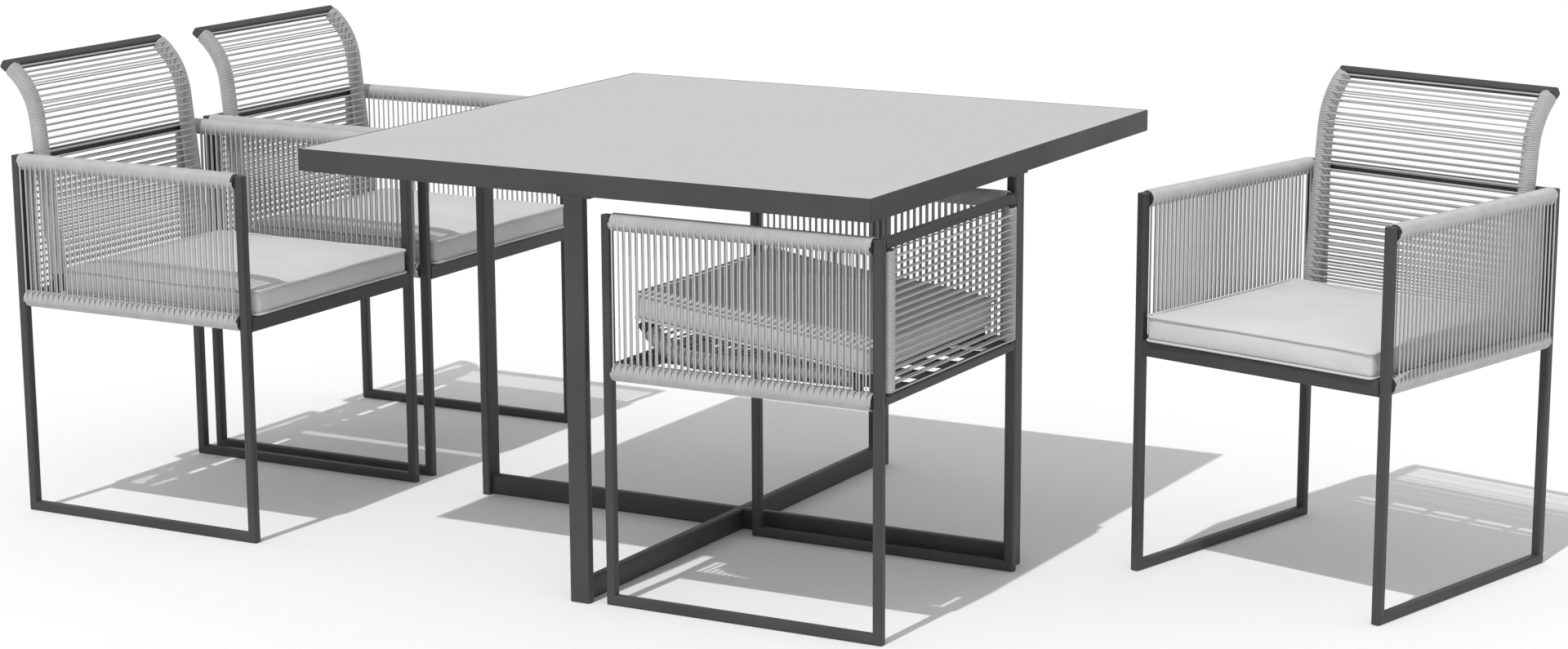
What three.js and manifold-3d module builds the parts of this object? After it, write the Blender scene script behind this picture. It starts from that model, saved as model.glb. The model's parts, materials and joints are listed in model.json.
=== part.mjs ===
// Patio dining set: a square glass-topped table on a floor cross, and four corded armchairs whose
// backrests fold flat onto the seat so that a chair stores under the table.
// Millimetres, +Z up. The origin is on the floor under the middle of the table.
import * as THREE from 'three';
import { mergeVertices } from 'three/addons/utils/BufferGeometryUtils.js';
import Module from 'manifold-3d';

// ---- driving dimensions ----

const GAP = 0.3; // clearance between touching pieces

const TABLE_SIDE = 1100;
const TABLE_HEIGHT = 729.5;
const RIM_HEIGHT = 38;
const RIM_WIDTH = 20;
const RIM_LIP = 3; // the part of the rim seen round the panel
const PANEL_THICKNESS = 6;
const TABLE_LEG_WIDE = 38;
const TABLE_LEG_THIN = 17;
const CROSS_HEIGHT = 38; // the floor cross stands on edge
const LEG_PLATE = { wide: 63, deep: 19, thick: 3 };

const CHAIR_WIDTH = 512;
const CHAIR_DEPTH = 518;
const POST_HEIGHT = 662;
const TUBE = 17; // the square tube of the chair frame
const TUBE_CORNER = 3.5;
const CORD = 3.1;
const RAIL_RADIUS = 12; // round tubes that the cord is wound on
const SPIGOT_RADIUS = 7; // the end of a round tube, inside the square tube it is welded to
const ARM_RAIL_Z = 651;
const LOW_RAIL_Z = 399.5;

const SEAT_TOP = 409.6;
const FRONT_RAIL_HEIGHT = 28;
const SLAT_X = [-224, -135, -45, 45, 135, 224];
const SLAT = { wide: 15, thick: 12 };

const HINGE_Y = 200; // the axis that the backrest folds about
const HINGE_Z = 425;
const PIN_RADIUS = 4;
const LUG = { x: 223.6, thick: 5.4, radius: 8 };

const BACK_LEAN = THREE.MathUtils.degToRad(6.2); // the backrest's lean when upright
const BACK_TUBE_X = 209;
const BACK_TAIL = 7; // tube below the hinge axis
const BACK_STRAIGHT = 300; // hinge axis to the start of the bend
const BEND_RADIUS = 126;
const BEND_ANGLE = THREE.MathUtils.degToRad(49);
const BACK_LENGTH = BACK_STRAIGHT + BEND_RADIUS * BEND_ANGLE; // hinge axis to the top bar
const TOP_BAR_HALF = 220;
const CORD_START = 14; // hinge axis to the backrest's winding, which runs up to the top bar

// The two upright tubes of the fixed lower back. They are slimmer than the rails, and stand a little
// behind the crossbar's middle, to clear the ends of the arms' windings.
const PANEL_POST = { x: 224.5, y: 253, radius: 9.6, spigot: 5.5 };

const CUSHION = { wide: 462, deep: 443, thick: 46, corner: 8, edge: 6 };
const CUSHION_FRONT_Y = -266; // the cushion overhangs the front rail a little
const FOLDED_CUSHION = { front_y: -217, front_z: 487.6, tilt: THREE.MathUtils.degToRad(6.6) };

// Each chair stands on the floor at x, y, turned about the vertical. Unturned, its front faces -Y.
const CHAIRS = [
  { name: 'tucked', x: 304.5, y: -283, turn: -90, folded: true },
  { name: 'near', x: -969, y: -247.5, turn: 90, folded: false },
  { name: 'far', x: -969, y: 305, turn: 90, folded: false },
  { name: 'right', x: 1047.5, y: 256.5, turn: -14, folded: false },
];

const FRAME_COAT = { color: 0x4a4a4c, roughness: 0.55, metalness: 0.35 };
const CORD_GREY = { color: 0xbfbfc1, roughness: 0.7, metalness: 0 };
const CUSHION_CLOTH = { color: 0xd5d6d8, roughness: 0.95, metalness: 0 };
const PANEL_GREY = { color: 0xcbcbcb, roughness: 0.35, metalness: 0 };

// ---- solids ----

const wasm = await Module();
wasm.setup();

function toSolid(geometry) {
  const bare = geometry.clone();
  bare.deleteAttribute('normal');
  bare.deleteAttribute('uv');
  const merged = mergeVertices(bare, 1e-4);
  return new wasm.Manifold(new wasm.Mesh({
    numProp: 3,
    vertProperties: new Float32Array(merged.attributes.position.array),
    triVerts: new Uint32Array(merged.index.array),
  }));
}

function toGeometry(solid) {
  const { vertProperties, triVerts } = solid.getMesh();
  const geometry = new THREE.BufferGeometry();
  geometry.setAttribute('position', new THREE.BufferAttribute(new Float32Array(vertProperties), 3));
  geometry.setIndex(new THREE.BufferAttribute(new Uint32Array(triVerts), 1));
  const flat = geometry.toNonIndexed();
  flat.computeVertexNormals();
  return flat;
}

const join = (...geometries) => toGeometry(geometries.map(toSolid).reduce((a, b) => a.add(b)));
const cut = (body, ...tools) => toGeometry(tools.map(toSolid).reduce((a, b) => a.subtract(b), toSolid(body)));

function box(sx, sy, sz, x, y, z) {
  return new THREE.BoxGeometry(sx, sy, sz).translate(x, y, z);
}

// A cylinder along the named axis, centred at x, y, z.
function cylinder(radius, length, axis, x, y, z, sides = 16) {
  const geometry = new THREE.CylinderGeometry(radius, radius, length, sides);
  if (axis === 'x') geometry.rotateZ(Math.PI / 2);
  if (axis === 'z') geometry.rotateX(Math.PI / 2);
  return geometry.translate(x, y, z);
}

// The outline of a tube, wide by tall, with rounded corners.
function roundedSection(wide, tall, corner = TUBE_CORNER, steps = 2) {
  const points = [];
  for (const [sx, sy, start] of [[1, 1, 0], [-1, 1, 1], [-1, -1, 2], [1, -1, 3]]) {
    for (let i = 0; i <= steps; i++) {
      const angle = (start + i / steps) * Math.PI / 2;
      points.push([
        sx * (wide / 2 - corner) + corner * Math.cos(angle),
        sy * (tall / 2 - corner) + corner * Math.sin(angle),
      ]);
    }
  }
  return points;
}

function roundSection(radius, sides) {
  return Array.from({ length: sides }, (_, i) => {
    const angle = (i + 0.5) / sides * Math.PI * 2;
    return [radius * Math.cos(angle), radius * Math.sin(angle)];
  });
}

// Sweeps a section along a path of points that all lie square to `across`, mitring every bend. A
// section point, taken anticlockwise, is [distance along across, distance along across x path].
// startMitre and endMitre lean the two end faces: 0 is square, 1 is 45 degrees.
function sweep(path, across, section, startMitre = 0, endMitre = 0) {
  const side = across.clone().normalize();
  const steps = path.slice(1).map((point, i) => point.clone().sub(path[i]).normalize());
  const normals = steps.map((step) => new THREE.Vector3().crossVectors(side, step));
  const positions = [];
  path.forEach((point, i) => {
    const before = normals[Math.max(i - 1, 0)];
    const after = normals[Math.min(i, steps.length - 1)];
    const normal = before.clone().add(after).normalize();
    normal.divideScalar(normal.dot(after));
    if (i === 0) normal.addScaledVector(steps[0], startMitre);
    if (i === path.length - 1) normal.addScaledVector(steps[steps.length - 1], -endMitre);
    for (const [a, b] of section) {
      const vertex = point.clone().addScaledVector(side, a).addScaledVector(normal, b);
      positions.push(vertex.x, vertex.y, vertex.z);
    }
  });
  const n = section.length;
  const index = [];
  for (let ring = 0; ring < path.length - 1; ring++) {
    for (let k = 0; k < n; k++) {
      const a = ring * n + k;
      const b = ring * n + (k + 1) % n;
      index.push(a, b + n, b, a, a + n, b + n);
    }
  }
  const outline = section.map(([a, b]) => new THREE.Vector2(a, b));
  const last = (path.length - 1) * n;
  for (const [a, b, c] of THREE.ShapeUtils.triangulateShape(outline, [])) {
    index.push(a, b, c);
    index.push(last + a, last + c, last + b);
  }
  const geometry = new THREE.BufferGeometry();
  geometry.setAttribute('position', new THREE.Float32BufferAttribute(positions, 3));
  geometry.setIndex(index);
  return geometry;
}

const X_AXIS = new THREE.Vector3(1, 0, 0);
const Z_AXIS = new THREE.Vector3(0, 0, 1);
const at = (x, y, z) => new THREE.Vector3(x, y, z);

// A straight piece of tube along X, wide in Y and tall in Z.
function tubeAlongX(from, to, wide, tall, y, z) {
  return sweep([at(from, y, z), at(to, y, z)], Z_AXIS, roundedSection(tall, wide));
}

function piece(name, geometry, look) {
  geometry.computeVertexNormals();
  const mesh = new THREE.Mesh(geometry, new THREE.MeshStandardMaterial(look));
  mesh.name = name;
  return mesh;
}

// ---- table ----

function rimRail() {
  const half = TABLE_SIDE / 2;
  const ledge = RIM_HEIGHT - PANEL_THICKNESS - GAP;
  const bottom = TABLE_HEIGHT - RIM_HEIGHT;
  const section = [[0, 0], [RIM_HEIGHT, 0], [RIM_HEIGHT, RIM_LIP], [ledge, RIM_LIP], [ledge, RIM_WIDTH],
    [0, RIM_WIDTH]];
  const path = [at(-half + GAP / 2, -half, bottom), at(half - GAP / 2, -half, bottom)];
  return sweep(path, Z_AXIS, section, 1, 1);
}

function glassPanel() {
  const side = TABLE_SIDE - 2 * (RIM_LIP + GAP);
  return box(side, side, PANEL_THICKNESS, 0, 0, TABLE_HEIGHT - PANEL_THICKNESS / 2);
}

// A leg stands at the middle of a side, with its wide face flush with the rim and a flat plate on top
// that is screwed up into the rim.
function tableLeg() {
  const y = -(TABLE_SIDE - TABLE_LEG_THIN) / 2;
  const top = TABLE_HEIGHT - RIM_HEIGHT - GAP;
  const tube = sweep([at(0, y, 0), at(0, y, top)], X_AXIS, roundedSection(TABLE_LEG_WIDE, TABLE_LEG_THIN));
  const plateY = -(TABLE_SIDE - LEG_PLATE.deep) / 2 + 0.5;
  return join(tube, box(LEG_PLATE.wide, LEG_PLATE.deep, LEG_PLATE.thick, 0, plateY, top - LEG_PLATE.thick / 2));
}

function crossBeam(from, to) {
  return sweep([at(from, 0, CROSS_HEIGHT / 2), at(to, 0, CROSS_HEIGHT / 2)], Z_AXIS,
    roundedSection(CROSS_HEIGHT, TABLE_LEG_THIN));
}

function makeTable() {
  const table = new THREE.Group();
  table.add(piece('table_panel', glassPanel(), PANEL_GREY));
  const sides = ['front', 'right', 'back', 'left'];
  sides.forEach((side, i) => {
    const turned = new THREE.Group();
    turned.rotation.z = i * Math.PI / 2;
    turned.add(piece(`table_rim_${side}`, rimRail(), FRAME_COAT));
    turned.add(piece(`table_leg_${side}`, tableLeg(), FRAME_COAT));
    table.add(turned);
  });
  const reach = TABLE_SIDE / 2 - TABLE_LEG_THIN - GAP;
  table.add(piece('floor_beam_long', crossBeam(-reach, reach), FRAME_COAT));
  for (const [name, turn] of [['floor_beam_front', -90], ['floor_beam_back', 90]]) {
    const beam = piece(name, crossBeam(TABLE_LEG_THIN / 2 + GAP, reach), FRAME_COAT);
    beam.rotation.z = THREE.MathUtils.degToRad(turn);
    table.add(beam);
  }
  return table;
}

// ---- chair frame ----

// One welded side: front post, floor runner and rear post in one mitred loop, and the two round rails
// that the arm's cord is wound on.
function sideFrame(x) {
  const y = (CHAIR_DEPTH - TUBE) / 2;
  const loop = sweep([at(x, y, POST_HEIGHT), at(x, y, TUBE / 2), at(x, -y, TUBE / 2), at(x, -y, POST_HEIGHT)],
    X_AXIS, roundedSection(TUBE, TUBE));
  const inner = y - TUBE / 2 - GAP;
  const rails = [ARM_RAIL_Z, LOW_RAIL_Z].flatMap((z) => [
    cylinder(SPIGOT_RADIUS, 2 * y, 'y', x, 0, z, 12),
    cylinder(RAIL_RADIUS, 2 * inner, 'y', x, 0, z, 12),
  ]);
  return join(loop, ...rails);
}

function seatFrame() {
  const reach = CHAIR_WIDTH / 2 - TUBE - GAP;
  const railY = (CHAIR_DEPTH - TUBE) / 2;
  const front = tubeAlongX(-reach, reach, TUBE, FRONT_RAIL_HEIGHT, -railY, SEAT_TOP - FRONT_RAIL_HEIGHT / 2);
  const rear = tubeAlongX(-reach, reach, TUBE, TUBE, railY, SEAT_TOP - TUBE / 2);
  const slats = SLAT_X.map((x) => (
    box(SLAT.wide, 2 * railY - TUBE + 4, SLAT.thick, x, 0, SEAT_TOP - 1 - SLAT.thick / 2)
  ));
  return join(front, rear, ...slats);
}

// The crossbar between the rear posts at arm height, with the two upright tubes that hold the fixed
// lower back.
function backFrame() {
  const reach = CHAIR_WIDTH / 2 - TUBE - GAP;
  const barY = (CHAIR_DEPTH - TUBE) / 2;
  const bar = tubeAlongX(-reach, reach, TUBE, TUBE, barY, POST_HEIGHT - TUBE / 2);
  const foot = SEAT_TOP + GAP;
  const length = POST_HEIGHT - TUBE - GAP - foot;
  const posts = [-1, 1].flatMap((side) => [
    cylinder(PANEL_POST.radius, length, 'z', side * PANEL_POST.x, PANEL_POST.y, foot + length / 2, 12),
    cylinder(PANEL_POST.spigot, 16, 'z', side * PANEL_POST.x, PANEL_POST.y, POST_HEIGHT - TUBE, 12),
  ]);
  return join(bar, ...posts);
}

// The lug that the backrest's pin turns in. It stands on the outermost slat.
function hingeLug(side) {
  const x = side * (LUG.x + LUG.thick / 2);
  const foot = SEAT_TOP - 1 + GAP;
  const plate = box(LUG.thick, 2 * LUG.radius, HINGE_Z - foot, x, HINGE_Y, (HINGE_Z + foot) / 2);
  const eye = cylinder(LUG.radius, LUG.thick, 'x', x, HINGE_Y, HINGE_Z, 20);
  const hole = cylinder(PIN_RADIUS + 0.5, LUG.thick + 2, 'x', x, HINGE_Y, HINGE_Z, 12);
  return cut(join(plate, eye), hole);
}

// ---- cord ----

const boreRadius = (rail) => rail + GAP;
const wrapRadius = (rail) => rail + GAP + CORD;

// The sleeve of cord round a rail, as a hollow tube.
function windingAlong(axis, rail, length, x, y, z, sides = 12) {
  const outer = cylinder(wrapRadius(rail), length, axis, x, y, z, sides);
  const inner = cylinder(boreRadius(rail), length + 2, axis, x, y, z, sides);
  return cut(outer, inner);
}

// The two skins of cord that cross between a pair of windings, front and back.
const SKIN = CORD - 0.1;
const skinOffset = (rail) => rail + GAP + CORD / 2;

function armCord(x) {
  const length = CHAIR_DEPTH - 2 * TUBE - 2 * GAP;
  const tall = ARM_RAIL_Z - LOW_RAIL_Z;
  const windings = [ARM_RAIL_Z, LOW_RAIL_Z].map((z) => windingAlong('y', RAIL_RADIUS, length, x, 0, z));
  const skins = [-1, 1].map((face) => (
    box(SKIN, length, tall, x + face * skinOffset(RAIL_RADIUS), 0, LOW_RAIL_Z + tall / 2)
  ));
  return join(...windings, ...skins);
}

function lowerBackCord() {
  const { x, y, radius } = PANEL_POST;
  const foot = SEAT_TOP + 2;
  const length = POST_HEIGHT - TUBE - GAP - foot;
  const middle = foot + length / 2;
  const windings = [-1, 1].map((side) => windingAlong('z', radius, length, side * x, y, middle));
  const skins = [-1, 1].map((face) => box(2 * x, SKIN, length, 0, y + face * skinOffset(radius), middle));
  return join(...windings, ...skins);
}

// ---- backrest ----
// Drawn in the frame of its hinge axis: z runs up the backrest and y runs to its rear.

// The point of the backrest's centre line at a distance from the hinge axis, moved `offset` to the rear.
// Above the bend the line runs straight on, through the top bar.
function backPoint(x, distance, offset = 0) {
  const angle = THREE.MathUtils.clamp((distance - BACK_STRAIGHT) / BEND_RADIUS, 0, BEND_ANGLE);
  const beyond = Math.max(distance - BACK_LENGTH, 0);
  const y = BEND_RADIUS - (BEND_RADIUS - offset) * Math.cos(angle) + beyond * Math.sin(angle);
  const up = (BEND_RADIUS - offset) * Math.sin(angle) + beyond * Math.cos(angle);
  return at(x, y, Math.min(distance, BACK_STRAIGHT) + up);
}

// The centre line from a distance up to the top bar, and further by `past`. Its last step is short, so
// that its end lies square to the bend.
function backLine(x, from, offset = 0, past = 0, bendSteps = 5) {
  const points = [backPoint(x, from, offset)];
  for (let i = 0; i <= bendSteps; i++) {
    points.push(backPoint(x, BACK_STRAIGHT + (BACK_LENGTH - 2 - BACK_STRAIGHT) * i / bendSteps, offset));
  }
  points.push(backPoint(x, BACK_LENGTH - GAP + past, offset));
  return points;
}

function backrestFrame() {
  const tubes = [-1, 1].flatMap((side) => {
    const x = side * BACK_TUBE_X;
    const spigot = [backPoint(x, BACK_LENGTH - 6), backPoint(x, BACK_LENGTH + TUBE / 2)];
    return [
      sweep(backLine(x, -BACK_TAIL), X_AXIS, roundSection(RAIL_RADIUS, 10)),
      sweep(spigot, X_AXIS, roundSection(SPIGOT_RADIUS, 10)),
    ];
  });
  const bottomBar = cylinder(7, 2 * BACK_TUBE_X, 'x', 0, 0, 0, 12);
  const pinReach = LUG.x + LUG.thick + 1.4;
  const pins = cylinder(PIN_RADIUS, 2 * pinReach, 'x', 0, 0, 0, 12);
  const middle = backPoint(0, BACK_LENGTH + TUBE / 2);
  const topBar = sweep([at(-TOP_BAR_HALF, 0, 0), at(TOP_BAR_HALF, 0, 0)], Z_AXIS, roundedSection(TUBE, TUBE));
  topBar.rotateX(-BEND_ANGLE).translate(0, middle.y, middle.z);
  return join(...tubes, bottomBar, pins, topBar);
}

function backrestCord() {
  const windings = [-1, 1].map((side) => {
    const x = side * BACK_TUBE_X;
    const outer = sweep(backLine(x, CORD_START), X_AXIS, roundSection(wrapRadius(RAIL_RADIUS), 10));
    const bore = sweep(backLine(x, CORD_START - 2, 0, 2), X_AXIS, roundSection(boreRadius(RAIL_RADIUS), 10));
    return cut(outer, bore);
  });
  const skins = [-1, 1].map((face) => (
    sweep(backLine(0, CORD_START, face * skinOffset(RAIL_RADIUS)), X_AXIS,
      [[-BACK_TUBE_X, -SKIN / 2], [BACK_TUBE_X, -SKIN / 2], [BACK_TUBE_X, SKIN / 2], [-BACK_TUBE_X, SKIN / 2]])
  ));
  return join(...windings, ...skins);
}

// ---- cushion ----
// Drawn with the middle of its front bottom edge at the origin, running to the rear along Y.

function cushionPad() {
  const { wide, deep, thick, corner, edge } = CUSHION;
  const half = wide / 2 - edge;
  const outline = new THREE.Shape();
  outline.moveTo(-half + corner, edge);
  outline.lineTo(half - corner, edge);
  outline.absarc(half - corner, edge + corner, corner, -Math.PI / 2, 0);
  outline.lineTo(half, deep - edge - corner);
  outline.absarc(half - corner, deep - edge - corner, corner, 0, Math.PI / 2);
  outline.lineTo(-half + corner, deep - edge);
  outline.absarc(-half + corner, deep - edge - corner, corner, Math.PI / 2, Math.PI);
  outline.lineTo(-half, edge + corner);
  outline.absarc(-half + corner, edge + corner, corner, Math.PI, Math.PI * 1.5);
  const pad = new THREE.ExtrudeGeometry(outline, {
    depth: thick - 2 * edge, bevelThickness: edge, bevelSize: edge, bevelSegments: 2, curveSegments: 3,
  });
  return pad.translate(0, 0, edge);
}

// ---- chair ----

function makeChair({ name, x, y, turn, folded }) {
  const chair = new THREE.Group();
  chair.position.set(x, y, 0);
  chair.rotation.z = THREE.MathUtils.degToRad(turn);
  const sideX = (CHAIR_WIDTH - TUBE) / 2;
  for (const [hand, side] of [['left', 1], ['right', -1]]) {
    chair.add(piece(`${name}_side_frame_${hand}`, sideFrame(side * sideX), FRAME_COAT));
    chair.add(piece(`${name}_arm_cord_${hand}`, armCord(side * sideX), CORD_GREY));
    chair.add(piece(`${name}_hinge_lug_${hand}`, hingeLug(side), FRAME_COAT));
  }
  chair.add(piece(`${name}_seat_frame`, seatFrame(), FRAME_COAT));
  chair.add(piece(`${name}_back_frame`, backFrame(), FRAME_COAT));
  chair.add(piece(`${name}_lower_back_cord`, lowerBackCord(), CORD_GREY));

  const backrest = new THREE.Group();
  backrest.position.set(0, HINGE_Y, HINGE_Z);
  backrest.rotation.x = folded ? Math.PI / 2 : -BACK_LEAN;
  backrest.add(piece(`${name}_backrest_frame`, backrestFrame(), FRAME_COAT));
  backrest.add(piece(`${name}_backrest_cord`, backrestCord(), CORD_GREY));
  chair.add(backrest);

  const cushion = piece(`${name}_cushion`, cushionPad(), CUSHION_CLOTH);
  if (folded) {
    cushion.position.set(0, FOLDED_CUSHION.front_y, FOLDED_CUSHION.front_z);
    cushion.rotation.x = -FOLDED_CUSHION.tilt;
  } else {
    cushion.position.set(0, CUSHION_FRONT_Y, SEAT_TOP + GAP);
  }
  chair.add(cushion);
  return chair;
}

const set = new THREE.Group();
set.add(makeTable());
for (const chair of CHAIRS) {
  set.add(makeChair(chair));
}

export default set;
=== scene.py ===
"""Looks of the patio dining set: cord windings, cushions, glass panel, coatings, floor, light and camera."""

import json
import math

import bmesh
import bpy
import numpy as np
from mathutils import Matrix, Vector


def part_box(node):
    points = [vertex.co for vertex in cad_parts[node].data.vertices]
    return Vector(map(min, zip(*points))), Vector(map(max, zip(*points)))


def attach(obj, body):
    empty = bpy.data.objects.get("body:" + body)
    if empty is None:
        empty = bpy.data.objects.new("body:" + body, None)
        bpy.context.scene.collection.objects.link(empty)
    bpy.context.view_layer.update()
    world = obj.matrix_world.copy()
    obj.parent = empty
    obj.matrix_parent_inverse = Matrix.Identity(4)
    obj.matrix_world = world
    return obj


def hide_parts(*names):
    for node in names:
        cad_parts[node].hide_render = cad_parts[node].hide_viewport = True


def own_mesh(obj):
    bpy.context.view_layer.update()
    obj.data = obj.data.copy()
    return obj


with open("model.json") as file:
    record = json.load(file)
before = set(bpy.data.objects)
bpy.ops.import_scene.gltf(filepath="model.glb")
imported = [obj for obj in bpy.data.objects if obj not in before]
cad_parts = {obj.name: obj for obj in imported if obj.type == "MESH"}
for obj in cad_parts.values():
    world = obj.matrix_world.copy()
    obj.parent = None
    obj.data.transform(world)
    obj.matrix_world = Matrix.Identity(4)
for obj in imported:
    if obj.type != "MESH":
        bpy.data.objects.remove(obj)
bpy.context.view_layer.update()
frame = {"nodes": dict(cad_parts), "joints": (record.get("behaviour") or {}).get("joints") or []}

MM = 0.001

# ---- sizes shared with the CAD model ----

CHAIR_WIDTH, CHAIR_DEPTH = 512 * MM, 518 * MM
TUBE = 17 * MM
RAIL_X = (CHAIR_WIDTH - TUBE) / 2  # middle of an arm's side frame
ARM_RAIL_Z, LOW_RAIL_Z = 651 * MM, 399.5 * MM
GAP = 0.3 * MM
SEAT_TOP = 409.6 * MM
POST_HEIGHT = 662 * MM
PANEL_POST_X, PANEL_POST_Y = 224.5 * MM, 253 * MM
LOWER_BACK_FOOT = 2 * MM  # from the seat to the end of the lower back's winding

HINGE_Y, HINGE_Z = 200 * MM, 425 * MM
BACK_LEAN = math.radians(6.2)
BACK_TUBE_X = 209 * MM
BACK_STRAIGHT, BEND_RADIUS, BEND_ANGLE = 300 * MM, 126 * MM, math.radians(49)
BACK_LENGTH = BACK_STRAIGHT + BEND_RADIUS * BEND_ANGLE  # hinge axis to the top bar
BACK_CORD_START = 14 * MM

CUSHION_WIDE, CUSHION_DEEP, CUSHION_THICK = 462 * MM, 443 * MM, 46 * MM
CUSHION_FRONT_Y = -266 * MM
STOWED_CUSHION_Y, STOWED_CUSHION_Z, STOWED_CUSHION_TILT = -217 * MM, 487.6 * MM, math.radians(6.6)

# ---- cord ----

CORD_RADIUS = 1.52 * MM
RAIL_WOUND = 13.75 * MM  # middle of an arm rail or backrest tube to the middle of the cord round it
POST_WOUND = 11.35 * MM  # the same for the slimmer tubes of the lower back
PITCH = 12 * MM  # from one span to the next, along a rail
TURNS_PER_PITCH = 4
TURN = PITCH / TURNS_PER_PITCH
END_MARGIN = 7 * MM  # least distance from a panel's end to its first span
BACK_SPAN = 3  # half turns round the low rail between a front span and the back span after it
FILLER_GAP = 0.1  # half turns left between a filling cord's end and the spanning cord
DIVE_ANGLE = 0.6  # stretch of a filling cord's end, in radians, over which it dives out of sight
STEPS_PER_HALF_TURN = 7
CORD_SIDES = 8
SHORTEST_RUN = 3  # points; a cord cut shorter than this is left out

UP = Vector((0, 0, 1))


# ---- mesh and placing helpers ----


def smoothed(mesh, smooth=True):
    mesh.polygons.foreach_set("use_smooth", [smooth] * len(mesh.polygons))
    mesh.update()
    return mesh


def mesh_object(name, vertices, faces, material, smooth=True):
    mesh = bpy.data.meshes.new(name)
    mesh.from_pydata([tuple(v) for v in vertices], [], faces)
    mesh.materials.append(material)
    obj = bpy.data.objects.new(name, smoothed(mesh, smooth))
    bpy.context.scene.collection.objects.link(obj)
    return obj


def quad_mesh_object(name, vertices, quads, material):
    """A smooth mesh from arrays of points and of four-sided faces."""
    mesh = bpy.data.meshes.new(name)
    mesh.vertices.add(len(vertices))
    mesh.vertices.foreach_set("co", np.asarray(vertices, np.float32).ravel())
    mesh.loops.add(quads.size)
    mesh.loops.foreach_set("vertex_index", np.asarray(quads, np.int32).ravel())
    mesh.polygons.add(len(quads))
    mesh.polygons.foreach_set("loop_start", np.arange(0, quads.size, 4, dtype=np.int32))
    mesh.update(calc_edges=True)
    mesh.validate()
    mesh.materials.append(material)
    obj = bpy.data.objects.new(name, smoothed(mesh))
    bpy.context.scene.collection.objects.link(obj)
    return obj


def with_modifier(obj, kind, **settings):
    """Adds a modifier, applies it and returns the object."""
    modifier = obj.modifiers.new(kind.lower(), kind)
    for key, value in settings.items():
        setattr(modifier, key, value)
    bpy.context.view_layer.update()
    mesh = bpy.data.meshes.new_from_object(obj.evaluated_get(bpy.context.evaluated_depsgraph_get()))
    obj.modifiers.clear()
    old, obj.data = obj.data, mesh
    bpy.data.meshes.remove(old)
    return obj


class Chair:
    """Where one chair stands, worked out from its fold joint. Unturned, its front faces -Y."""

    def __init__(self, name):
        self.name = name
        fold = next(j for j in frame["joints"] if j["name"] == f"{name}_backrest_fold")
        self.stowed = fold["range_deg"][1] < 90
        self.x = Vector(fold["axis"]) * (-1 if self.stowed else 1)
        self.y = UP.cross(self.x)
        self.origin = Vector(fold["pos_m"]) - self.y * HINGE_Y - UP * HINGE_Z

    def matrix(self):
        turn = Matrix((self.x, self.y, UP)).transposed().to_4x4()
        return Matrix.Translation(self.origin) @ turn

    def backrest_matrix(self):
        """The backrest's own frame: z runs up it from the hinge axis, and y to its rear."""
        turn = math.pi / 2 if self.stowed else -BACK_LEAN
        return self.matrix() @ Matrix.Translation((0, HINGE_Y, HINGE_Z)) @ Matrix.Rotation(turn, 4, "X")

    def piece(self, part):
        return f"{self.name}_{part}"


def place(obj, matrix, body, slot, *nodes):
    """Moves a finished piece into its place, and says what it rides on and what it replaces. Its slot
    argument is not used.
    """
    obj.data.transform(matrix)
    obj.data.update()
    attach(obj, body)
    if nodes:
        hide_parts(*nodes)


# ---- node helpers for materials ----


class Shader:
    """A new material and short ways to add nodes to it."""

    def __init__(self, name):
        self.material = bpy.data.materials.new(name)
        self.material.use_nodes = True
        self.tree = self.material.node_tree
        self.principled = self.tree.nodes["Principled BSDF"]
        self.coordinates = self.node("ShaderNodeTexCoord").outputs["Object"]

    def node(self, kind, **inputs):
        made = self.tree.nodes.new(kind)
        for key, value in inputs.items():
            self.feed(made.inputs[key.replace("_", " ")], value)
        return made

    def feed(self, socket, value):
        if isinstance(value, bpy.types.NodeSocket):
            self.tree.links.new(value, socket)
        else:
            socket.default_value = value

    def set(self, **inputs):
        for key, value in inputs.items():
            self.feed(self.principled.inputs[key.replace("_", " ")], value)

    def noise(self, scale, detail=2.0):
        return self.node("ShaderNodeTexNoise", Vector=self.coordinates, Scale=scale, Detail=detail).outputs[0]

    def wave(self, direction, scale, distortion):
        made = self.node("ShaderNodeTexWave", Vector=self.coordinates, Scale=scale, Distortion=distortion)
        made.bands_direction = direction
        return made.outputs["Fac"]

    def maths(self, operation, a, b):
        made = self.tree.nodes.new("ShaderNodeMath")
        made.operation = operation
        self.feed(made.inputs[0], a)
        self.feed(made.inputs[1], b)
        return made.outputs[0]

    def ramp(self, value, low, high, start, end):
        """A colour or a grey from low to high as value goes from start to end."""
        made = self.node("ShaderNodeValToRGB", Fac=value)
        for stop, position, colour in zip(made.color_ramp.elements, (start, end), (low, high)):
            stop.position = position
            stop.color = (*colour, 1) if isinstance(colour, tuple) else (colour, colour, colour, 1)
        return made.outputs[0]

    def bump(self, height, strength, distance, normal=None):
        made = self.node("ShaderNodeBump", Height=height, Strength=strength, Distance=distance)
        if normal is not None:
            self.feed(made.inputs["Normal"], normal)
        return made.outputs[0]

    def bevel(self, radius):
        made = self.node("ShaderNodeBevel", Radius=radius)
        made.samples = 6
        return made.outputs[0]


# ---- materials ----


def coated_metal():
    """Anthracite powder coat: fine orange peel, a little unevenness in gloss, and edges that catch light."""
    s = Shader("powder_coat")
    patches = s.noise(7)
    speckle = s.noise(1900, 1)
    tone = s.maths("ADD", s.maths("MULTIPLY", patches, 0.75), s.maths("MULTIPLY", speckle, 0.25))
    peel = s.noise(620, 3)
    s.set(
        Base_Color=s.ramp(tone, (0.036, 0.036, 0.037), (0.058, 0.058, 0.059), 0.3, 0.7),
        Roughness=s.ramp(patches, 0.42, 0.56, 0.3, 0.7),
        Normal=s.bump(peel, 0.12, 0.0004, s.bevel(0.9 * MM)),
        Specular_IOR_Level=0.4,
    )
    return s.material


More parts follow.
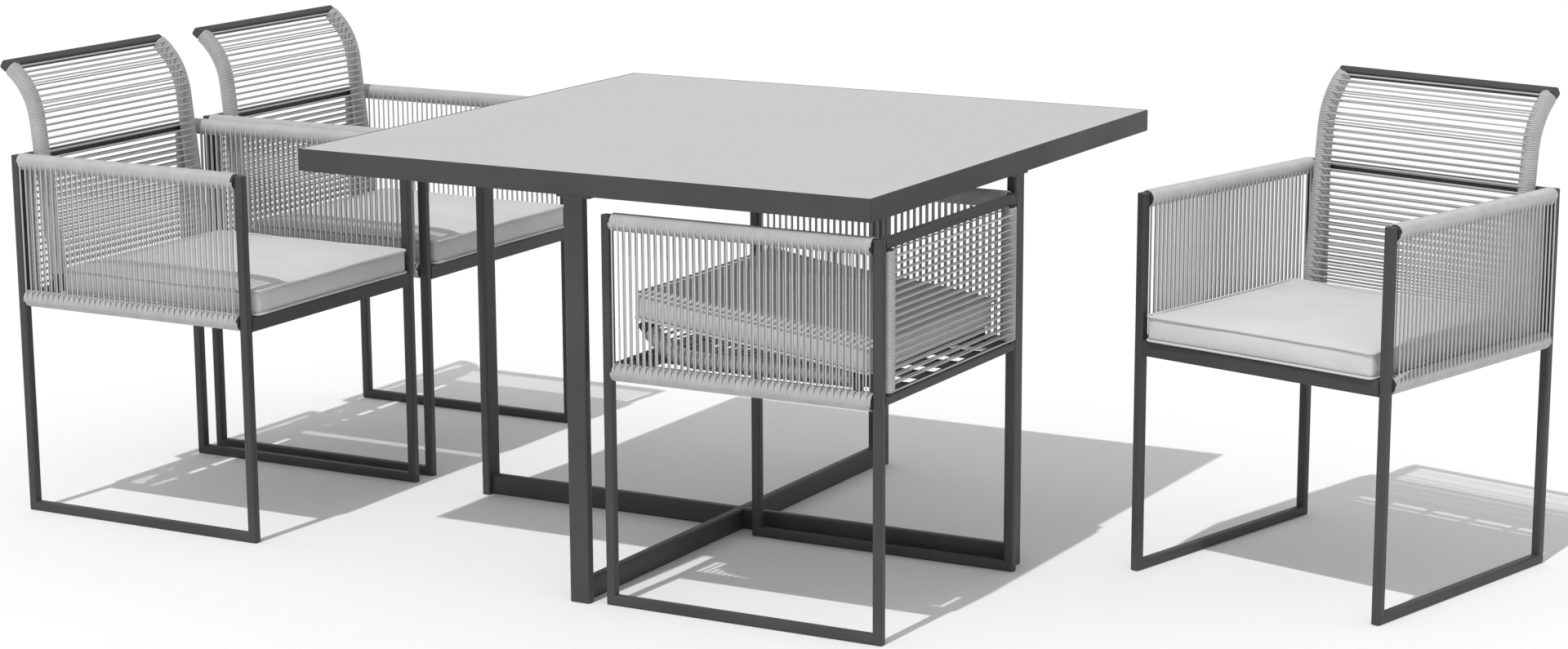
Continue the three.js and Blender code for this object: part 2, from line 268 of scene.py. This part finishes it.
def cord_plastic():
    """Light grey round cord: a smooth skin with faint draw lines and slight differences in tone."""
    s = Shader("grey_cord")
    batches = s.noise(38, 2)
    fine = s.noise(900, 2)
    tone = s.maths("ADD", s.maths("MULTIPLY", batches, 0.7), s.maths("MULTIPLY", fine, 0.3))
    s.set(
        Base_Color=s.ramp(tone, (0.44, 0.44, 0.445), (0.52, 0.52, 0.525), 0.3, 0.7),
        Roughness=s.ramp(fine, 0.38, 0.48, 0.3, 0.7),
        Normal=s.bump(fine, 0.15, 0.0003),
        Specular_IOR_Level=0.6,
    )
    return s.material


def weave_height(s, threads_per_metre):
    """A plain weave from crossing threads, the same on every side of a cushion."""
    waves_per_unit_scale = 10  # how many threads a wave texture draws in a metre at scale 1
    across = [s.wave(axis, threads_per_metre / waves_per_unit_scale, 0.4) for axis in "XYZ"]
    return s.maths("MULTIPLY", s.maths("ADD", s.maths("ADD", across[0], across[1]), across[2]), 1 / 3)


def cushion_cloth():
    """Pale grey outdoor cloth: plain weave, flecked yarn, soft sheen and faint creases."""
    s = Shader("cushion_cloth")
    weave = weave_height(s, 900)
    fleck = s.noise(1500, 3)
    cloudy = s.noise(9, 3)
    tone = s.maths("ADD", s.maths("MULTIPLY", fleck, 0.6), s.maths("MULTIPLY", cloudy, 0.4))
    creases = s.noise(26, 4)
    s.set(
        Base_Color=s.ramp(tone, (0.555, 0.56, 0.57), (0.66, 0.665, 0.675), 0.32, 0.68),
        Roughness=0.9,
        Sheen_Weight=0.15,
        Sheen_Roughness=0.5,
        Specular_IOR_Level=0.2,
        Normal=s.bump(weave, 0.35, 0.0005, s.bump(creases, 0.25, 0.002)),
    )
    return s.material


def panel_glass():
    """Glass painted grey on its back: even colour, satin face, faint waviness in the reflection."""
    s = Shader("panel_glass")
    mist = s.noise(3, 2)
    s.set(
        Base_Color=s.ramp(mist, (0.475, 0.475, 0.475), (0.488, 0.488, 0.488), 0.35, 0.65),
        Roughness=s.ramp(s.noise(40, 3), 0.30, 0.36, 0.3, 0.7),
        Coat_Weight=0.25,
        Coat_Roughness=0.12,
        Normal=s.bump(s.noise(18, 1), 0.02, 0.001),
    )
    return s.material


def ground_edge_and_highlight():
    """The ground and polished edge of the glass, paler than its face: partly the ground glass's own colour,
    partly a painted highlight along the edge.
    """
    s = Shader("glass_edge_and_highlight")
    s.set(
        # paler than the face: a painted highlight along the edge on top of the ground glass's own colour
        Base_Color=s.ramp(s.noise(300, 2), (0.66, 0.67, 0.67), (0.74, 0.75, 0.75), 0.3, 0.7),
        Roughness=s.ramp(s.noise(500, 2), 0.3, 0.5, 0.3, 0.7),
    )
    return s.material


def floor_white():
    s = Shader("floor")
    s.set(Base_Color=(0.86, 0.86, 0.86, 1), Roughness=0.85, Specular_IOR_Level=0.1)
    return s.material


COAT, CORD, CLOTH = coated_metal(), cord_plastic(), cushion_cloth()
GLASS, GLASS_EDGE_AND_HIGHLIGHT = panel_glass(), ground_edge_and_highlight()


# ---- cord windings ----


def turns(start, rail, radius, first, last, dive=0.0):
    """Part of the coil round one rail. Points are (along the rails, across the panel, out of its front).
    Half turns are counted from the front face of the panel at start, and a dive hides both cut ends
    under their neighbours."""
    angle = math.pi * np.linspace(first, last, int((last - first) * STEPS_PER_HALF_TURN) + 1)
    from_end = np.minimum(angle - angle[0], angle[-1] - angle)
    height = radius - dive * np.clip(1 - from_end / DIVE_ANGLE, 0, 1) ** 2
    along = start + TURN * angle / (2 * math.pi)
    return np.stack([along, rail - height * np.sin(angle), height * np.cos(angle)], 1)


def spanning_cord(starts, gap, radius):
    """The cord that goes down the front, round the low rail, up the back and round the high rail."""
    whole = 2 * TURNS_PER_PITCH
    parts = []
    for start in starts:
        parts.append(turns(start, 0, radius, 0, BACK_SPAN))
        parts.append(turns(start, gap, radius, BACK_SPAN, whole))
    return np.concatenate(parts)


def filling_cords(starts, gap, radius):
    """The cords that cover both rails between the turns of the spanning cord."""
    whole = 2 * TURNS_PER_PITCH
    dive = 2 * CORD_RADIUS
    for start in starts:
        yield turns(start, 0, radius, BACK_SPAN + FILLER_GAP, whole - FILLER_GAP, dive)
        yield turns(start, gap, radius, FILLER_GAP, BACK_SPAN - FILLER_GAP, dive)


def winding_routes(length, gap, radius):
    """The routes of all the cords on one panel, cut to its length."""
    count = int((length - 2 * END_MARGIN) / PITCH) + 1
    first = (length - (count - 1) * PITCH) / 2
    starts = [first + k * PITCH for k in range(-1, count + 1)]
    low, high = CORD_RADIUS, length - CORD_RADIUS
    routes = []
    for points in (spanning_cord(starts, gap, radius), *filling_cords(starts, gap, radius)):
        inside = (points[:, 0] > low) & (points[:, 0] < high)
        cuts = np.flatnonzero(np.diff(inside.astype(int))) + 1
        routes += [run for run in np.split(points, cuts) if low < run[0, 0] < high]
    return [run for run in routes if len(run) > SHORTEST_RUN]


def ring_points(points, side, other, radius, sides):
    """A ring of points round each point of a path, in the plane of side and other."""
    angles = np.arange(sides) / sides * 2 * math.pi
    rings = (
        points[:, None, :]
        + radius * np.cos(angles)[None, :, None] * side[:, None, :]
        + radius * np.sin(angles)[None, :, None] * other[:, None, :]
    )
    return rings.reshape(-1, 3)


def tube_arrays(points, rails, radius, sides, first_vertex):
    """Rings of a tube along points, with flat ends, as (vertices, quads). rails is the direction of
    the rails at each point, which every ring is turned by."""
    tangents = np.gradient(points, axis=0)
    tangents /= np.linalg.norm(tangents, axis=1, keepdims=True)
    side = rails - tangents * np.sum(rails * tangents, axis=1, keepdims=True)
    side /= np.linalg.norm(side, axis=1, keepdims=True)
    rings = ring_points(points, side, np.cross(tangents, side), radius, sides)
    count = len(points)
    ring, k = np.meshgrid(np.arange(count - 1), np.arange(sides), indexing="ij")
    a = ring * sides + k
    b = ring * sides + (k + 1) % sides
    quads = np.stack([a, b, b + sides, a + sides], -1).reshape(-1, 4)
    fan = np.array([[0, i, i + 1, i + 2] for i in range(1, sides - 2, 2)])
    start_cap, end_cap = fan[:, ::-1], fan + (count - 1) * sides
    return rings, np.concatenate([quads, start_cap, end_cap]) + first_vertex


def wound_cord(name, length, gap, radius, to_space):
    """The whole winding of one panel. to_space turns (along, across, out) into points and the
    directions of the rails there."""
    vertices, quads, used = [], [], 0
    for route in winding_routes(length, gap, radius):
        points, rails = to_space(route)
        tube_points, tube_quads = tube_arrays(points, rails, CORD_RADIUS, CORD_SIDES, used)
        vertices.append(tube_points)
        quads.append(tube_quads)
        used += len(tube_points)
    return quad_mesh_object(name, np.concatenate(vertices), np.concatenate(quads), CORD)


def arm_cord(chair, hand, side):
    length = CHAIR_DEPTH - 2 * TUBE - 2 * GAP
    gap = ARM_RAIL_Z - LOW_RAIL_Z

    def to_space(route):
        along, across, out = route.T
        points = np.stack([side * (RAIL_X + out), along - length / 2, LOW_RAIL_Z + across], 1)
        return points, np.tile([0.0, 1.0, 0.0], (len(points), 1))

    cord = wound_cord(chair.piece(f"arm_winding_{hand}"), length, gap, RAIL_WOUND, to_space)
    place(cord, chair.matrix(), f"{chair.name}_chair", "cord", chair.piece(f"arm_cord_{hand}"))


def lower_back_cord(chair):
    foot, top = SEAT_TOP + LOWER_BACK_FOOT, POST_HEIGHT - TUBE - GAP

    def to_space(route):
        along, across, out = route.T
        points = np.stack([across - PANEL_POST_X, PANEL_POST_Y - out, top - along], 1)
        return points, np.tile([0.0, 0.0, 1.0], (len(points), 1))

    cord = wound_cord(chair.piece("lower_back_winding"), top - foot, 2 * PANEL_POST_X, POST_WOUND, to_space)
    place(cord, chair.matrix(), f"{chair.name}_chair", "cord", chair.piece("lower_back_cord"))


def back_line(distance, offset):
    """(rearward, up, angle) of the backrest at a distance along its middle line, offset to the rear."""
    angle = np.maximum(distance - BACK_STRAIGHT, 0) / BEND_RADIUS
    rearward = BEND_RADIUS - (BEND_RADIUS - offset) * np.cos(angle)
    up = np.minimum(distance, BACK_STRAIGHT) + (BEND_RADIUS - offset) * np.sin(angle)
    return rearward, up, angle


def backrest_cord(chair):
    start, end = BACK_CORD_START, BACK_LENGTH - GAP

    def to_space(route):
        along, across, out = route.T
        rearward, up, angle = back_line(end - along, -out)
        points = np.stack([across - BACK_TUBE_X, rearward, up], 1)
        return points, np.stack([np.zeros(len(angle)), np.sin(angle), np.cos(angle)], 1)

    cord = wound_cord(chair.piece("backrest_winding"), end - start, 2 * BACK_TUBE_X, RAIL_WOUND, to_space)
    body = f"{chair.name}_backrest"
    place(cord, chair.backrest_matrix(), body, "cord", chair.piece("backrest_cord"))


# ---- cushions ----

CORNER_RADIUS = 14 * MM  # of a cushion, seen from above
PIPING_RADIUS = 2.1 * MM
PIPING_SIDES = 8
SEAM_INSET = 2.0 * MM
PIPING_INSET = 1.4 * MM
TOP_PIPING_DROP = 2.6 * MM  # from the top of the cushion to the middle of its upper piping
PULL_IN = 3.0 * MM  # how far the sides pull in between the corners
MOST_SWELL = 7 * MM
CROWN = 2.5 * MM  # extra height in the middle
LOWEST = 0.4 * MM  # of the pad, above the seat
SIMULATED_FRAMES = 20
RIPPLE_WAVES = (9, 14, 23, 37)  # radians in half a metre
RIPPLE_HEIGHT = 5.85 * MM  # divided by the wave's number


def rounded_rectangle(wide, tall, radius, steps):
    """Points round a rectangle with round corners, anticlockwise from its right side."""
    points = []
    for quarter, (sx, sy) in enumerate(((1, 1), (-1, 1), (-1, -1), (1, -1))):
        for i in range(steps + 1):
            angle = (quarter + i / steps) * math.pi / 2
            points.append((
                sx * (wide / 2 - radius) + radius * math.cos(angle),
                sy * (tall / 2 - radius) + radius * math.sin(angle),
            ))
    return points


def lofted(name, rings, material):
    """A closed solid through rings of points, with flat ends."""
    count = len(rings[0])
    faces = [tuple(range(count))[::-1], tuple((len(rings) - 1) * count + k for k in range(count))]
    for r in range(len(rings) - 1):
        for k in range(count):
            a, b = r * count + k, r * count + (k + 1) % count
            faces.append((a, b, b + count, a + count))
    return mesh_object(name, [p for ring in rings for p in ring], faces, material)


def pulled_in(value, half, share_across):
    """A seam's x or y, moved towards the middle where the cloth pulls the side in."""
    pull = PULL_IN * (1 - share_across**2) * math.copysign(1, value) * (abs(value) / half) ** 6
    return value - pull


def seam_outline(inset, steps=6, per_side=26):
    """Points of a cushion seam, seen from above, anticlockwise. Its middle is at 0, 0."""
    half_x, half_y = CUSHION_WIDE / 2 - inset, CUSHION_DEEP / 2 - inset
    corners = rounded_rectangle(2 * half_x, 2 * half_y, CORNER_RADIUS - inset, steps)
    points = []
    for i, (x, y) in enumerate(corners):
        points.append((x, y))
        if (i + 1) % (steps + 1) == 0:
            nx, ny = corners[(i + 1) % len(corners)]
            for k in range(1, per_side):
                share = k / per_side
                points.append((x + (nx - x) * share, y + (ny - y) * share))
    return [(pulled_in(x, half_x, y / half_y), pulled_in(y, half_y, x / half_x)) for x, y in points]


def cushion_blank():
    """The unstuffed cushion: two seams joined by a boxing band, with flat faces."""
    edge = 3.5 * MM
    top = CUSHION_THICK - 1 * MM
    levels = (
        (SEAM_INSET + edge, 0.6 * MM),
        (SEAM_INSET, edge),
        (SEAM_INSET + 0.6 * MM, CUSHION_THICK / 2),
        (SEAM_INSET, top - edge),
        (SEAM_INSET + edge, top),
    )
    rings = [[(x, y, z) for x, y in seam_outline(inset)] for inset, z in levels]
    return lofted("cushion_blank", rings, CLOTH)


def hold(blank, rest):
    """The group of vertices that the stuffing can't move freely: the underside and the upper seam."""
    held = blank.vertex_groups.new(name="held")
    low = rest[:, 2] < 3 * MM
    near_x = np.abs(rest[:, 0]) > CUSHION_WIDE / 2 - 8 * MM
    near_y = np.abs(rest[:, 1]) > CUSHION_DEEP / 2 - 8 * MM
    seam = (near_x | near_y) & (rest[:, 2] > CUSHION_THICK - 7 * MM)
    for chosen, weight in ((low, 1.0), (seam, 0.85)):
        held.add([int(i) for i in np.flatnonzero(chosen)], weight, "REPLACE")


def swollen(blank, rest):
    """The vertices of the cushion, blown up as cloth."""
    hold(blank, rest)
    cloth = blank.modifiers.new("stuffing", "CLOTH")
    cloth.settings.use_pressure = True
    cloth.settings.uniform_pressure_force = 4
    cloth.settings.vertex_group_mass = "held"
    cloth.settings.effector_weights.gravity = 0
    cloth.settings.quality = 5
    cloth.point_cache.frame_start, cloth.point_cache.frame_end = 1, SIMULATED_FRAMES
    scene = bpy.context.scene
    for number in range(1, SIMULATED_FRAMES + 1):
        scene.frame_set(number)
    posed = blank.evaluated_get(bpy.context.evaluated_depsgraph_get())
    points = np.array([v.co for v in posed.data.vertices])
    blank.modifiers.clear()
    scene.frame_set(1)
    return points


def make_cushion_mesh():
    """One stuffed cushion, its underside at z = 0 and the middle of its plan at 0, 0."""
    blank = with_modifier(cushion_blank(), "REMESH", mode="VOXEL", voxel_size=5 * MM)
    rest = np.array([v.co for v in blank.data.vertices])
    move = swollen(blank, rest) - rest
    size = np.linalg.norm(move, axis=1, keepdims=True)
    move *= MOST_SWELL * np.tanh(size / MOST_SWELL) / np.maximum(size, 1e-9)
    shape = rest + move
    x, y = rest[:, 0] / (CUSHION_WIDE / 2), rest[:, 1] / (CUSHION_DEEP / 2)
    inner = np.clip(1 - x**2, 0, 1) * np.clip(1 - y**2, 0, 1)
    upper = np.clip(rest[:, 2] / CUSHION_THICK, 0, 1) ** 2
    shape[:, 2] += upper * CROWN * np.sqrt(inner)
    shape[:, 2] = np.maximum(shape[:, 2], LOWEST)
    blank.data.vertices.foreach_set("co", shape.astype(np.float32).ravel())
    blank.vertex_groups.clear()
    with_modifier(blank, "SMOOTH", factor=0.5, iterations=3)
    with_modifier(blank, "SUBSURF", levels=1, render_levels=1)
    smoothed(blank.data)
    return blank


def ripple(points, seed):
    """Small uneven moves, in metres, that set one cushion apart from another."""
    x, y = points[:, 0], points[:, 1]
    rng = np.random.default_rng(seed)
    total = np.zeros(len(points))
    for wave in RIPPLE_WAVES:
        angle, phase = rng.uniform(0, math.pi), rng.uniform(0, 2 * math.pi)
        total += np.sin(wave * (x * math.cos(angle) + y * math.sin(angle)) * 2 + phase) / wave
    return total * RIPPLE_HEIGHT


def piping(name, z, seed=None):
    """The cord sewn round a seam. With a seed, it follows the ripples of the cushion's top."""
    points = np.array([(x, y, z) for x, y in seam_outline(PIPING_INSET)])
    if seed is not None:
        points[:, 2] += ripple(points, seed)
    count, sides = len(points), PIPING_SIDES
    tangents = np.roll(points, -1, 0) - np.roll(points, 1, 0)
    tangents /= np.linalg.norm(tangents, axis=1, keepdims=True)
    upward = np.tile([0.0, 0.0, 1.0], (count, 1))
    rings = ring_points(points, np.cross(tangents, upward), upward, PIPING_RADIUS, sides)
    r, k = np.meshgrid(np.arange(count), np.arange(sides), indexing="ij")
    here, after = r * sides, (r + 1) % count * sides
    beside = (k + 1) % sides
    quads = np.stack([here + k, after + k, after + beside, here + beside], -1).reshape(-1, 4)
    return quad_mesh_object(name, rings, quads, CLOTH)


def cushion_matrix(chair):
    if chair.stowed:
        at = chair.matrix() @ Matrix.Translation((0, STOWED_CUSHION_Y, STOWED_CUSHION_Z))
        at = at @ Matrix.Rotation(-STOWED_CUSHION_TILT, 4, "X")
    else:
        at = chair.matrix() @ Matrix.Translation((0, CUSHION_FRONT_Y, SEAT_TOP + GAP))
    return at @ Matrix.Translation((0, CUSHION_DEEP / 2, 0))


def cushion_pad(chair, pattern, seed):
    pad = bpy.data.objects.new(chair.piece("cushion_pad"), pattern.data.copy())
    bpy.context.scene.collection.objects.link(pad)
    points = np.array([v.co for v in pad.data.vertices])
    points[:, 2] += ripple(points, seed) * np.clip(points[:, 2] / CUSHION_THICK, 0, 1)
    pad.data.vertices.foreach_set("co", points.astype(np.float32).ravel())
    return pad


def cushion(chair, pattern, seed):
    at, body = cushion_matrix(chair), f"{chair.name}_cushion"
    pad = cushion_pad(chair, pattern, seed)
    place(pad, at, body, "cushion", chair.piece("cushion"))
    top = piping(chair.piece("cushion_piping_top"), CUSHION_THICK - TOP_PIPING_DROP, seed)
    bottom = piping(chair.piece("cushion_piping_bottom"), PIPING_RADIUS + 0.1 * MM)
    for trim in (top, bottom):
        place(trim, at, body, "cushion")
    if not chair.stowed:
        for soft in (pad, top, bottom):
            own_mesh(soft)


# ---- table ----


def glass_panel():
    """The panel with its edges ground to a small bevel, standing for the plain CAD slab."""
    low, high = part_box("table_panel")
    bm = bmesh.new()
    bmesh.ops.create_cube(bm, size=1)
    for v in bm.verts:
        for i in range(3):
            v.co[i] = low[i] if v.co[i] < 0 else high[i]
    bmesh.ops.bevel(bm, geom=bm.edges, offset=1.2 * MM, segments=3, profile=0.6, affect="EDGES")
    mesh = bpy.data.meshes.new("glass_panel")
    bm.to_mesh(mesh)
    bm.free()
    mesh.materials.append(GLASS)
    # the edge material is paler than the face and carries a painted highlight
    mesh.materials.append(GLASS_EDGE_AND_HIGHLIGHT)
    for polygon in mesh.polygons:
        polygon.material_index = 0 if abs(polygon.normal.z) > 0.999 else 1
        polygon.use_smooth = polygon.material_index == 1
    panel = bpy.data.objects.new("glass_panel", mesh)
    bpy.context.scene.collection.objects.link(panel)
    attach(panel, "table")
    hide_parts("table_panel")


# ---- floor, light and camera ----


def floor():
    half, z = 40.0, -0.5 * MM
    corners = [(-half, -half, z), (half, -half, z), (half, half, z), (-half, half, z)]
    mesh_object("floor", corners, [(0, 1, 2, 3)], floor_white(), smooth=False)


def light():
    """A high sun from the camera's side, nearly square to the table, and an even white sky."""
    world = bpy.data.worlds.new("studio")
    bpy.context.scene.world = world
    world.use_nodes = True
    world.node_tree.nodes["Background"].inputs["Color"].default_value = (1, 1, 1, 1)
    world.node_tree.nodes["Background"].inputs["Strength"].default_value = 0.67
    key = bpy.data.lights.new("key", "SUN")
    key.energy = 1.93
    key.angle = math.radians(0.8)
    lamp = bpy.data.objects.new("key", key)
    towards_sun = Vector((-0.0252, -0.51, 1.0))
    lamp.rotation_euler = towards_sun.to_track_quat("Z", "Y").to_euler()
    bpy.context.scene.collection.objects.link(lamp)


def camera():
    lens = bpy.data.cameras.new("camera")
    lens.sensor_width = 36
    lens.lens = 79.53
    lens.shift_x, lens.shift_y = -0.0443, 0.0477
    lens.clip_end = 200
    made = bpy.data.objects.new("camera", lens)
    made.location = (3.0094, -5.2823, 1.6377)
    made.rotation_euler = (math.radians(90 - 12.972), 0, math.radians(27.755))
    bpy.context.scene.collection.objects.link(made)
    bpy.context.scene.camera = made
    bpy.context.scene.view_settings.view_transform = "Standard"


# ---- the set ----

for node, part in frame["nodes"].items():
    part.data.materials.clear()
    part.data.materials.append(CORD if "cord" in node else CLOTH if "cushion" in node else COAT)

glass_panel()
pattern = make_cushion_mesh()
for number, name in enumerate(("tucked", "near", "far", "right")):
    chair = Chair(name)
    arm_cord(chair, "left", 1)
    arm_cord(chair, "right", -1)
    lower_back_cord(chair)
    backrest_cord(chair)
    cushion(chair, pattern, number + 1)
bpy.data.objects.remove(pattern)
floor()
light()
camera()
